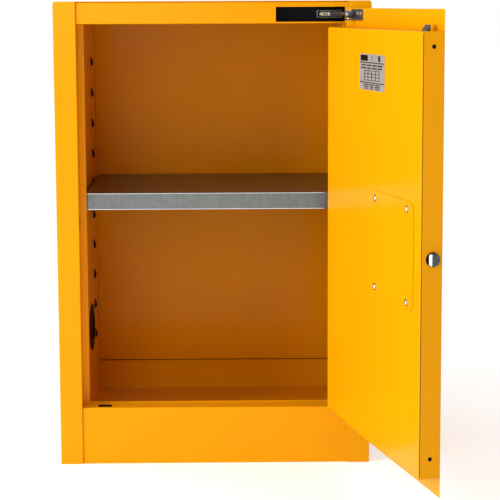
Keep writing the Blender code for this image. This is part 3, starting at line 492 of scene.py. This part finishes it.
def slam_bolt():
    """A round bolt whose dark flat nose meets a polished slope, and its flat tail."""
    low, high = door_box("slam_bolt")
    collar_low, collar_high = door_box("bolt_collar")
    middle = (collar_low + collar_high) / 2
    radius = (high.z - low.z) / 2
    body_length, nose_back, rim = 0.029, 0.0038, 0.0006
    reach = body_length - nose_back
    start = at((low.x + body_length, middle.y, middle.z), EDGEWISE, DOOR)
    profile = [(0, 0), (radius, 0), (radius, reach - rim), (radius - rim, reach), (0, reach)]
    bm = bmesh.new()
    lathe(bm, profile, start, steps=64)

    nose_width, slope_width = 0.0142, 0.0034
    turn = DOOR.to_3x3()
    slope, steep_slope = [(turn @ Vector((x, 1, 0))).normalized() for x in (-1, -0.3)]
    corner = Vector((low.x + nose_back, middle.y - radius + nose_width, middle.z))
    trim(bm, DOOR @ corner, slope)
    trim(bm, DOOR @ (corner + Vector((slope_width, slope_width, 0))), steep_slope)
    nearly_along = 0.98
    bm.normal_update()
    for face in bm.faces:
        face.material_index = 0 if abs(face.normal.dot(slope)) > nearly_along else 1

    tail_half, tail_reach, tail_corner, tail_offset = 0.00175, 0.006, 0.0008, 0.00125
    tail_overlap = 0.001
    tail = rectangle(tail_half, tail_reach, tail_corner, (tail_offset, 0))
    slab(bm, tail, low.x + body_length - high.x, tail_overlap, start)
    piece("slam_bolt_body", bm, ("chromed_steel", "dark_steel"), "slam_bolt", ["slam_bolt"], smooth=30)


def bolt_collar_ring():
    """The black collar that the bolt slides in, bevelled round its mouth."""
    bolt_low, bolt_high = door_box("slam_bolt")
    low, high = door_box("bolt_collar")
    middle = (low + high) / 2
    play, inset, bevel = 0.0003, 0.0009, 0.0005
    bore = (bolt_high.z - bolt_low.z) / 2 + play
    rim = (high.z - low.z) / 2 - inset
    tall = high.x - low.x
    shoulder, lead_in = tall * 0.5, tall * 0.6
    profile = [
        (bore, 0), (rim, 0), (rim, shoulder), (rim - bevel, tall), (bore + bevel, tall), (bore, lead_in),
    ]
    bm = bmesh.new()
    lathe(bm, profile, at((high.x, middle.y, middle.z), EDGEWISE, DOOR), steps=56, ring=True)
    piece("bolt_collar_ring", bm, "black_moulding", "door", ["bolt_collar"])


def rivets():
    """Pop rivets: a flanged dome with the broken mandrel in its middle, on a thin dark washer."""
    dome = [
        (0, 0.0009), (0.0010, 0.0009), (0.0012, 0.0004), (0.0014, 0.0019), (0.0022, 0.0021),
        (0.0033, 0.0016), (0.0043, 0.0008), (0.0047, 0.0001), (0.0047, -0.0001), (0, -0.0001),
    ]
    washer = [(0.0040, 0.00025), (0.0064, 0.00015), (0.0064, 0), (0.0040, 0)]
    lift = 0.0002
    for name in [node for node in NODES if node.startswith("rivet_")]:
        low, high = door_box(name)
        seat = (low + high) / 2
        seat.y = door_box("latch_cover_plate")[1].y + lift
        place = at(seat, INWARD, DOOR)
        bm = bmesh.new()
        lathe(bm, dome, place, steps=32)
        piece(f"{name}_head", bm, "chromed_steel", "door", [name])
        bm = bmesh.new()
        lathe(bm, washer, place, steps=32, ring=True)
        piece(f"{name}_washer", bm, "black_moulding", "door")


def rating_plate():
    """A foil plate, on which plate_marks sets its generic marks."""
    low, high = door_box("rating_plate")
    half = (high - low) / 2
    thick = high.y - low.y
    corner = 0.003
    face = at((low.x + half.x, low.y, low.z + half.z), INWARD, DOOR)
    bm = bmesh.new()
    slab(bm, rectangle(half.x, half.z, corner), 0, thick, face)
    piece("rating_plate_foil", bm, "foil_plate", "door", ["rating_plate"], edge=0.0001)
    plate_marks(face, half.x, half.z, thick)


def plate_marks(face, half_u, half_z, thick):
    """Plain marks: two rules, a row of blocks, lines of bars like words, and a small grid.

    Places are shares of the plate's half width towards its left and of its half height upwards, both from
    its middle.
    """
    bm = bmesh.new()
    ink_gap, ink = 0.00002, 0.00004
    rule, block, big_bar, small_bar, line = 0.0016, 0.0100, 0.0024, 0.0018, 0.0010

    def mark(across, up, width, tall):
        outline = rectangle(width / 2, tall / 2, tall / 9, (-across * half_u, up * half_z), segments=2)
        slab(bm, outline, thick + ink_gap, thick + ink_gap + ink, face)

    rule_places, rule_width = (0.53, -0.58), half_u * 1.96
    for up in rule_places:
        mark(0, up, rule_width, rule)
    block_place, blocks = 0.78, ((0.62, half_u * 0.60), (-0.02, 0.0030), (-0.60, 0.0100))
    for across, width in blocks:
        mark(across, block_place, width, block)
    first_word, word_pitch, first_row, row_pitch = 0.66, 0.44, 0.38, 0.16
    for row in range(2):
        for word in range(4):
            width = half_u * (0.36 + 0.06 * math.sin(3.1 * word + 1.9 * row))
            mark(first_word - word_pitch * word, first_row - row_pitch * row, width, big_bar)
    grid_middle, grid_width, grid_tall = -0.18, half_u * 1.22, half_z * 0.54
    first_column, column_pitch, first_line, line_pitch = 0.60, 0.30, 0.09, 0.18
    for column in range(5):
        mark(first_column - column_pitch * column, grid_middle, line, grid_tall)
    for row in range(4):
        mark(0, first_line - line_pitch * row, grid_width, line)
    first_word, word_pitch, first_row, row_pitch = 0.46, 0.46, -0.69, 0.11
    for row in range(3):
        for word in range(3):
            width = half_u * (0.40 - 0.06 * row + 0.05 * math.cos(2.3 * word + row))
            mark(first_word - word_pitch * word, first_row - row_pitch * row, width, small_bar)
    piece("rating_plate_marks", bm, "black_moulding", "door")


def edge_hole_shades():
    """Black cups set just inside the holes in the door's free edge: painted shade that darkens the holes."""
    low, _ = door_box("door_outer_skin")
    cup = [(0, 0), (0.0036, 0), (0.0036, 0.0009), (0.0030, 0.0009), (0.0024, 0.0005), (0, 0.0005)]
    for end, height in EDGE_HOLE_HEIGHTS.items():
        bm = bmesh.new()
        lathe(bm, cup, at((low.x + SHEET, EDGE_HOLE_Y, height), EDGEWISE, DOOR), steps=32)
        piece(f"edge_hole_shade_{end}", bm, "black_moulding", "door")


def door_welds():
    """Spot welds that show through the pan beside the free edge."""
    _, high = door_box("door_inner_pan")
    weld = [(0, 0.00005), (0.0016, 0.0001), (0.0026, 0.00028), (0.0032, 0.0), (0, 0)]
    count, first, pitch, column, sunk = 6, 0.792, 0.1271, -0.4727, 0.00005
    bm = bmesh.new()
    for i in range(count):
        lathe(bm, weld, at((column, high.y - sunk, first - pitch * i), INWARD, DOOR), steps=24)
    piece("door_spot_welds", bm, "yellow_powder_coat", "door")


def door_seam_shade():
    """A black strip in the open joint between the pan's rim and the skin's return: painted shade for the
    joint's depth.
    """
    low, high = door_box("door_outer_skin")
    low.z, high.z = (corner.z for corner in door_box("door_inner_pan"))
    width, corner, proud, sunk, margin = 0.0009, 0.0003, 0.00006, 0.0002, 0.004
    half_tall = (high.z - low.z) / 2
    face = at((low.x, high.y - SHEET - width / 2, low.z + half_tall), EDGEWISE, DOOR)
    bm = bmesh.new()
    slab(bm, rectangle(width / 2, half_tall - margin, corner), -sunk, proud, face)
    piece("door_edge_seam_shade", bm, "black_moulding", "door")


def paddle_hinge_pins():
    """The ends of the paddle's hinge pin, beside its barrel."""
    low, high = door_box("paddle_handle")
    barrel_y, barrel_drop = 0.007, 0.0042
    pin = [(0, 0.0022), (0.0013, 0.0022), (0.0017, 0.0018), (0.0017, -0.001), (0, -0.001)]
    for side, x, out in (("latch_side", low.x, -1), ("hinge_side", high.x, 1)):
        bm = bmesh.new()
        lathe(bm, pin, at((x, barrel_y, high.z - barrel_drop), (out, 0, 0), DOOR), steps=24)
        piece(f"paddle_pin_{side}", bm, "zinc_plated_steel", "paddle")


# ---------------------------------------------------------------- pieces of the closer


def screw_head(bm, place, radius, tall):
    """A low round head with a flat top."""
    top, shoulder, shoulder_height = radius * 0.6, radius * 0.9, tall * 0.7
    profile = [(0, tall), (top, tall), (shoulder, shoulder_height), (radius, 0), (0, 0)]
    lathe(bm, profile, place, steps=28)


def closer_arm():
    """The arm: a ball in a bright cup ring, a necked bar and an eye."""
    pivot = Vector(JOINTS["closer_pivot"]["pos_m"])
    points = [vert.co for vert in NODES["closer_arm"].data.vertices]
    far = max(points, key=lambda point: (point - pivot).xy.length)
    along = Vector((far.x - pivot.x, far.y - pivot.y, 0)).normalized()
    length, ball, ball_steps = 0.074, 0.0078, 14
    bar = [
        (0.0042, ball), (0.0038, 0.0098), (0.0033, 0.0125), (0.0033, 0.060),
        (0.0027, length - 0.003), (0, length - 0.003),
    ]
    angles = [math.pi * i / (ball_steps + 2) for i in range(1, ball_steps)]
    profile = [(0, -ball)] + [(ball * math.sin(angle), -ball * math.cos(angle)) for angle in angles] + bar
    eye = [
        (0.0027, 0.0036), (0.0043, 0.0036), (0.0045, 0.003), (0.0045, -0.003), (0.0043, -0.0036),
        (0.0027, -0.0036),
    ]
    bm = bmesh.new()
    lathe(bm, profile, at(pivot, along), steps=40)
    lathe(bm, eye, at(pivot + along * length), steps=32, ring=True)
    piece("closer_arm_bar", bm, "zinc_plated_steel", "closer_arm", ["closer_arm"], smooth=50)

    inner, lip, back, front = ball * 0.90, 0.0009, 0.0022, 0.0036
    cup = [(inner, back), (inner + lip, back), (ball + 0.0001, front), (inner, front)]
    aside, forward = 1.1, 0.35
    facing = Vector((-aside * along.x, along.y - forward, 0))
    bm = bmesh.new()
    lathe(bm, cup, at(pivot, facing), steps=40, ring=True)
    piece("closer_ball_ring", bm, "chromed_steel", "closer_arm")


def closer_rails():
    """The slider's folded rim, bright round its dark channel."""
    low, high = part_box("closer_slider")
    middle = (low + high) / 2
    half_x, half_z = (high.x - low.x) / 2, (high.z - low.z) / 2
    link_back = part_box("fusible_link")[1].y
    place = at((middle.x, link_back, middle.z), OUTWARD)
    rim, tall, corner, end_corner = 0.0011, 0.0002, 0.0004, 0.0003
    bm = bmesh.new()
    for z in (half_z - rim / 2, rim / 2 - half_z):
        slab(bm, rectangle(half_x, rim / 2, corner, (0, z), segments=2), 0, tall, place)
    for x in (half_x - rim / 2, rim / 2 - half_x):
        slab(bm, rectangle(rim / 2, half_z - rim, end_corner, (x, 0), segments=2), 0, tall, place)
    piece("closer_slider_rim", bm, "chromed_steel", "closer_slider")
    channel_low, channel_high, channel_corner = 0.00002, 0.0001, 0.001
    channel = rectangle(half_x - rim, half_z - rim, channel_corner)
    bm = bmesh.new()
    slab(bm, channel, channel_low, channel_high, place)
    piece("closer_slider_channel", bm, "black_moulding", "closer_slider")


def closer_screws():
    """Two screws in the fusible link, and two in the door's bracket."""
    low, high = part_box("fusible_link")
    middle = (low + high) / 2
    hole_x, sunk = 0.013, 0.0001
    bm = bmesh.new()
    for x in (-hole_x, hole_x):
        place = at((middle.x + x, low.y + sunk, middle.z), OUTWARD)
        screw_head(bm, place, radius=0.0023, tall=0.0010)
    piece("closer_link_screws", bm, "chromed_steel", "closer_slider")
    low, high = door_box("closer_bracket")
    foot_face, above_middle, from_end = 0.0040, 0.002, (0.008, 0.024)
    height = (low.z + high.z) / 2 + above_middle
    bm = bmesh.new()
    for x in from_end:
        place = at((low.x + x, foot_face, height), INWARD, DOOR)
        screw_head(bm, place, radius=0.0034, tall=0.0017)
    piece("closer_bracket_screws", bm, "chromed_steel", "door")


# ---------------------------------------------------------------- pieces of the body


def shelf_edge_highlights():
    """Bright chrome strips along the shelf's front bends: painted highlights where the bends catch the
    light.
    """
    low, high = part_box("shelf")
    end_gap, below_top, above_bottom = 0.002, 0.0009, 0.0007
    half_tall, corner, thick = 0.00055, 0.0005, 0.00006
    half = (high.x - low.x) / 2 - end_gap
    place = at((0, low.y, 0), OUTWARD)
    bm = bmesh.new()
    for z in (high.z - below_top, low.z + above_bottom):
        slab(bm, rectangle(half, half_tall, corner, (0, z), segments=3), 0, thick, place)
    piece("shelf_bend_highlights", bm, "chromed_steel", "shelf")


def sump_seam_shade():
    """A dark bead along the top of the sump's back wall: painted shade for the shadow line along that seam.
    """
    low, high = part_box("sump_tray")
    end_gap, radius, lift = 0.001, 0.0006, 0.0001
    half = (high.x - low.x) / 2 - end_gap
    tip = radius * 0.8
    profile = [
        (0, 0), (tip, 0), (radius, radius), (radius, 2 * half - radius), (tip, 2 * half), (0, 2 * half),
    ]
    place = at((-half, high.y - SHEET / 2, high.z + lift), (1, 0, 0))
    bm = bmesh.new()
    lathe(bm, profile, place, steps=12)
    piece("sump_seam_shade_bead", bm, "black_moulding", "cabinet")


def slot_shade_cups():
    """Black open cups behind the slots in the sill and the header, which the door's rods drop into; their
    black is painted shade that darkens the slots.
    """
    wall, deep, corner, proud = 0.0004, 0.0120, 0.0001, 0.00005
    side_x, side_y = STRIKE_HALF_X - wall / 2, STRIKE_HALF_Y - wall / 2
    for end, rim, up in (("lower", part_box("sill")[1].z, 1), ("upper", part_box("header")[0].z, -1)):
        place = at((*STRIKE_PLACE, rim), (0, 0, up))
        bm = bmesh.new()
        for x in (-side_x, side_x):
            end_wall = rectangle(wall / 2, STRIKE_HALF_Y, corner, (x, 0), segments=2)
            slab(bm, end_wall, -deep, proud, place)
        for y in (-side_y, side_y):
            long_wall = rectangle(STRIKE_HALF_X - wall, wall / 2, corner, (0, y), segments=2)
            slab(bm, long_wall, -deep, proud, place)
        floor = rectangle(STRIKE_HALF_X, STRIKE_HALF_Y, corner, segments=2)
        slab(bm, floor, -deep - wall, -deep, place)
        piece(f"slot_shade_cup_{end}", bm, "black_moulding", "cabinet")


def louvre_shadows():
    """Black plates in each louvre's mouth: painted shade standing in for the dark air space behind the
    liner.
    """
    reach, half_tall, skew, arc_steps = 0.0045, 0.0101, 0.45, 16
    lift, thick = 0.0002, 0.0004
    for side, sign in SIDES.items():
        outline = []
        for i in range(arc_steps + 1):
            angle = math.pi * (i / arc_steps - 0.5)
            up = math.sin(angle)
            outline.append((-sign * reach * math.cos(angle) * (1 - skew * up), up * half_tall))
        bm = bmesh.new()
        for depth in LOUVRE_DEPTHS:
            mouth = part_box("outer_side_left")[0].y + depth + lift
            for i in range(LOUVRE_COUNT):
                place = Matrix.Translation((sign * LINER_X, mouth, LOUVRE_FIRST - LOUVRE_PITCH * i))
                slab(bm, outline, 0, thick, place @ Matrix.Rotation(math.pi / 2, 4, "X"))
        piece(f"louvre_shadows_{side}", bm, "black_moulding", "cabinet")


def vents():
    """Ribbed lock rings inside, knurled caps with a grip bar outside, and a wire screen between."""
    for side, sign in SIDES.items():
        lock_ring(side, sign)
        vent_cap(side, sign)
        flame_screen(side)


def lock_ring(side, sign):
    """The vent's tube through the wall, with a lobed flange on its inner end."""
    low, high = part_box(f"vent_collar_{side}")
    middle = (low + high) / 2
    length = high.x - low.x
    outer = low.x if sign < 0 else high.x
    rim, tube, bore = 0.047, 0.0300, 0.0270
    lobe_count, lobe_share, lobe_cut, lobe_start = 14, 0.55, 0.925, tube + 0.002
    face, round_off, flange = length - 0.0006, length - 0.0014, length - 0.0035
    profile = [
        (bore, length), (bore + 0.004, length), (tube + 0.006, face), (rim - 0.0008, face),
        (rim, round_off), (rim, flange), (tube, flange), (tube, 0), (bore, 0),
    ]

    def lobes(radius, angle):
        notched = radius > lobe_start and math.cos(lobe_count * angle) > lobe_share
        return radius * lobe_cut if notched else radius

    place = at((outer, middle.y, middle.z), (-sign, 0, 0))
    bm = bmesh.new()
    lathe(bm, profile, place, steps=168, ring=True, shape=lobes)
    piece(f"vent_lock_ring_{side}", bm, "black_moulding", "cabinet", [f"vent_collar_{side}"])


def vent_cap(side, sign):
    """The screwed cap outside, with a knurled rim round a dished face and a grip bar across it."""
    low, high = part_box(f"vent_cap_{side}")
    middle = (low + high) / 2
    base = high.x if sign < 0 else low.x
    place = at((base, middle.y, middle.z), (sign, 0, 0))
    knurl_count, knurl_deep, knurl_start = 40, 0.0007, 0.0325
    profile = [
        (0, 0.0078), (0.0245, 0.0078), (0.0262, 0.009), (0.0305, 0.009), (0.0324, 0.0082),
        (0.034, 0.0068), (0.034, 0.0009), (0.0333, 0), (0, 0),
    ]

    def knurl(radius, angle):
        notched = radius > knurl_start and math.cos(knurl_count * angle) > 0
        return radius - knurl_deep if notched else radius

    grip = rectangle(0.0035, 0.022, 0.0028)
    grip_low, grip_high = 0.006, 0.0135
    bm = bmesh.new()
    lathe(bm, profile, place, steps=160, shape=knurl)
    slab(bm, grip, grip_low, grip_high, place)
    name = f"vent_cap_{side}"
    piece(f"{name}_turned", bm, "zinc_plated_steel", name, [name], edge=0.0003)


def flame_screen(side):
    """Crossed wires, each woven over and under the others, in a thin ring."""
    low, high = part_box(f"flame_screen_{side}")
    middle = (low + high) / 2
    radius, pitch, wire = (high.z - low.z) / 2, 0.0024, 0.00032
    ring_wide, ring_half = 0.0012, 0.0006
    inner = radius - ring_wide
    ring = [(inner, ring_half), (radius, ring_half), (radius, -ring_half), (inner, -ring_half)]
    count = int(radius / pitch)
    bm = bmesh.new()
    for across in (0, 1):
        for i in range(-count, count + 1):
            woven_wire(bm, middle, radius, pitch, wire, across, i)
    lathe(bm, ring, at(middle, (1, 0, 0)), steps=48, ring=True)
    piece(f"flame_screen_{side}_wire", bm, "brass", "cabinet", [f"flame_screen_{side}"])


def woven_wire(bm, middle, radius, pitch, wire, across, i):
    """The screen's wire number i from the middle, square in section, waving once in two pitches."""
    corners, steps_a_pitch, fewest_steps = 4, 2, 4
    offset = i * pitch
    half = math.sqrt(radius**2 - offset**2)
    steps = max(fewest_steps, int(steps_a_pitch * 2 * half / pitch))
    rows = []
    for k in range(steps + 1):
        along = -half + 2 * half * k / steps
        lift = wire * math.cos(math.pi * (along / pitch + i + across))
        row = []
        for corner in range(corners):
            turn = 2 * math.pi * (corner + 0.5) / corners
            side_way, up = offset + wire * math.cos(turn), lift + wire * math.sin(turn)
            y, z = (side_way, along) if across else (along, side_way)
            row.append(bm.verts.new((middle.x + up, middle.y + y, middle.z + z)))
        rows.append(row)
    for first, second in zip(rows, rows[1:]):
        for a in range(corners):
            b = (a + 1) % corners
            bm.faces.new((first[a], first[b], second[b], second[a]))
    bm.faces.new(rows[0][::-1])
    bm.faces.new(rows[-1])


def body_welds():
    """Rows of spot welds round the edges of the back."""
    low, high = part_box("outer_back")
    weld = [(0, 0.00006), (0.0018, 0.00010), (0.0027, 0.00024), (0.0033, 0.0), (0, 0)]
    sunk, side_inset, bottom_inset, top_inset = 0.0003, 0.012, 0.014, 0.016
    column_count, column_start, column_pitch = 12, 0.04, 0.0728
    row_count, row_start, row_pitch = 8, 0.05, 0.0707
    places = []
    for x in (low.x + side_inset, high.x - side_inset):
        places += [(x, column_start + column_pitch * i) for i in range(column_count)]
    for i in range(row_count):
        x = low.x + row_start + row_pitch * i
        places += [(x, bottom_inset), (x, high.z - top_inset)]
    bm = bmesh.new()
    for x, z in places:
        lathe(bm, weld, at((x, high.y - sunk, z), INWARD), steps=20)
    piece("back_spot_welds", bm, "yellow_powder_coat", "cabinet")


# ---------------------------------------------------------------- the whole scene

camera()
stage()
sky()
softboxes()
SCENE.view_settings.view_transform = "Standard"

FINISHES = {
    "yellow_powder_coat": powder_coat(),
    "zinc_plated_steel": zinc(),
    "chromed_steel": chrome(),
    "black_moulding": black_moulding(),
    "brass": brass(),
    "foil_plate": foil_plate(),
    "dark_steel": dark_steel(),
}
dress_frame()
slam_bolt()
bolt_collar_ring()
rivets()
rating_plate()
edge_hole_shades()
door_welds()
door_seam_shade()
paddle_hinge_pins()
closer_arm()
closer_rails()
closer_screws()
shelf_edge_highlights()
sump_seam_shade()
slot_shade_cups()
louvre_shadows()
vents()
body_welds()
